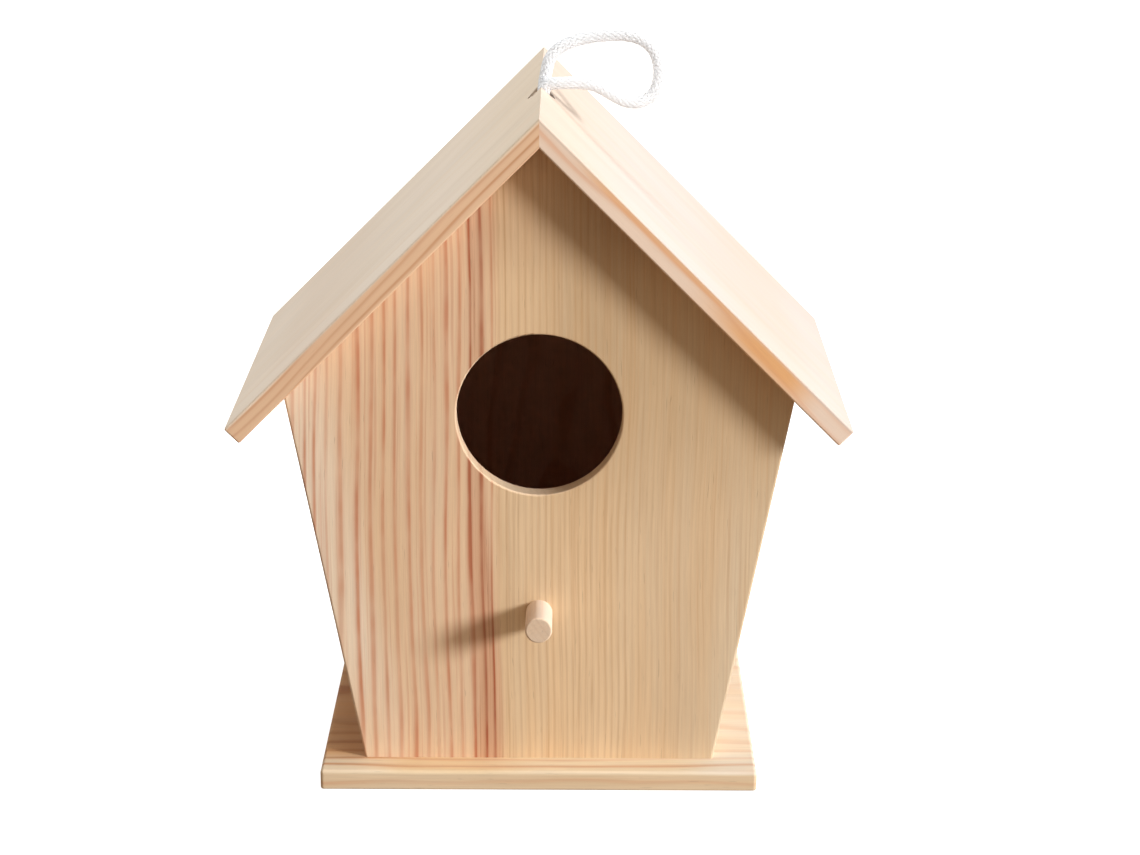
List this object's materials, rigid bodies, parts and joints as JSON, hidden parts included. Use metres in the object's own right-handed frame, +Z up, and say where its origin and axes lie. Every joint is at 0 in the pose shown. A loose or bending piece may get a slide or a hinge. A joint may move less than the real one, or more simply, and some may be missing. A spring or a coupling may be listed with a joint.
{
  "type": "birdhouse",
  "caption": "Small pine nesting box with leaning walls, a steep gable roof, a round entrance, a dowel perch and a cord loop for hanging.",
  "frame": {"origin": "centre of the underside of the base board", "axes": "+X to the right as seen from the front, -Y out of the entrance, +Z up towards the ridge"},
  "size_m": [0.1416, 0.108, 0.1716],
  "materials": {
    "panel_pine": "sanded, unfinished, grain upright",
    "roof_pine": "sanded, unfinished, grain down the slope",
    "base_pine": "sanded, unfinished, grain left to right",
    "dowel_birch": "smooth, unfinished dowel",
    "cord_white": "braided white cord",
    "brad_steel": "bright steel"
  },
  "bodies": {
    "root": {"base_board": "base_pine", "base_brads": "brad_steel", "front_panel": "panel_pine", "back_panel": "panel_pine", "left_side_wall": "panel_pine", "right_side_wall": "panel_pine", "left_roof_board": "roof_pine", "right_roof_board": "roof_pine", "perch": "dowel_birch", "hanging_cord": "cord_white", "cord_knot": "cord_white"}
  },
  "joints": []
}
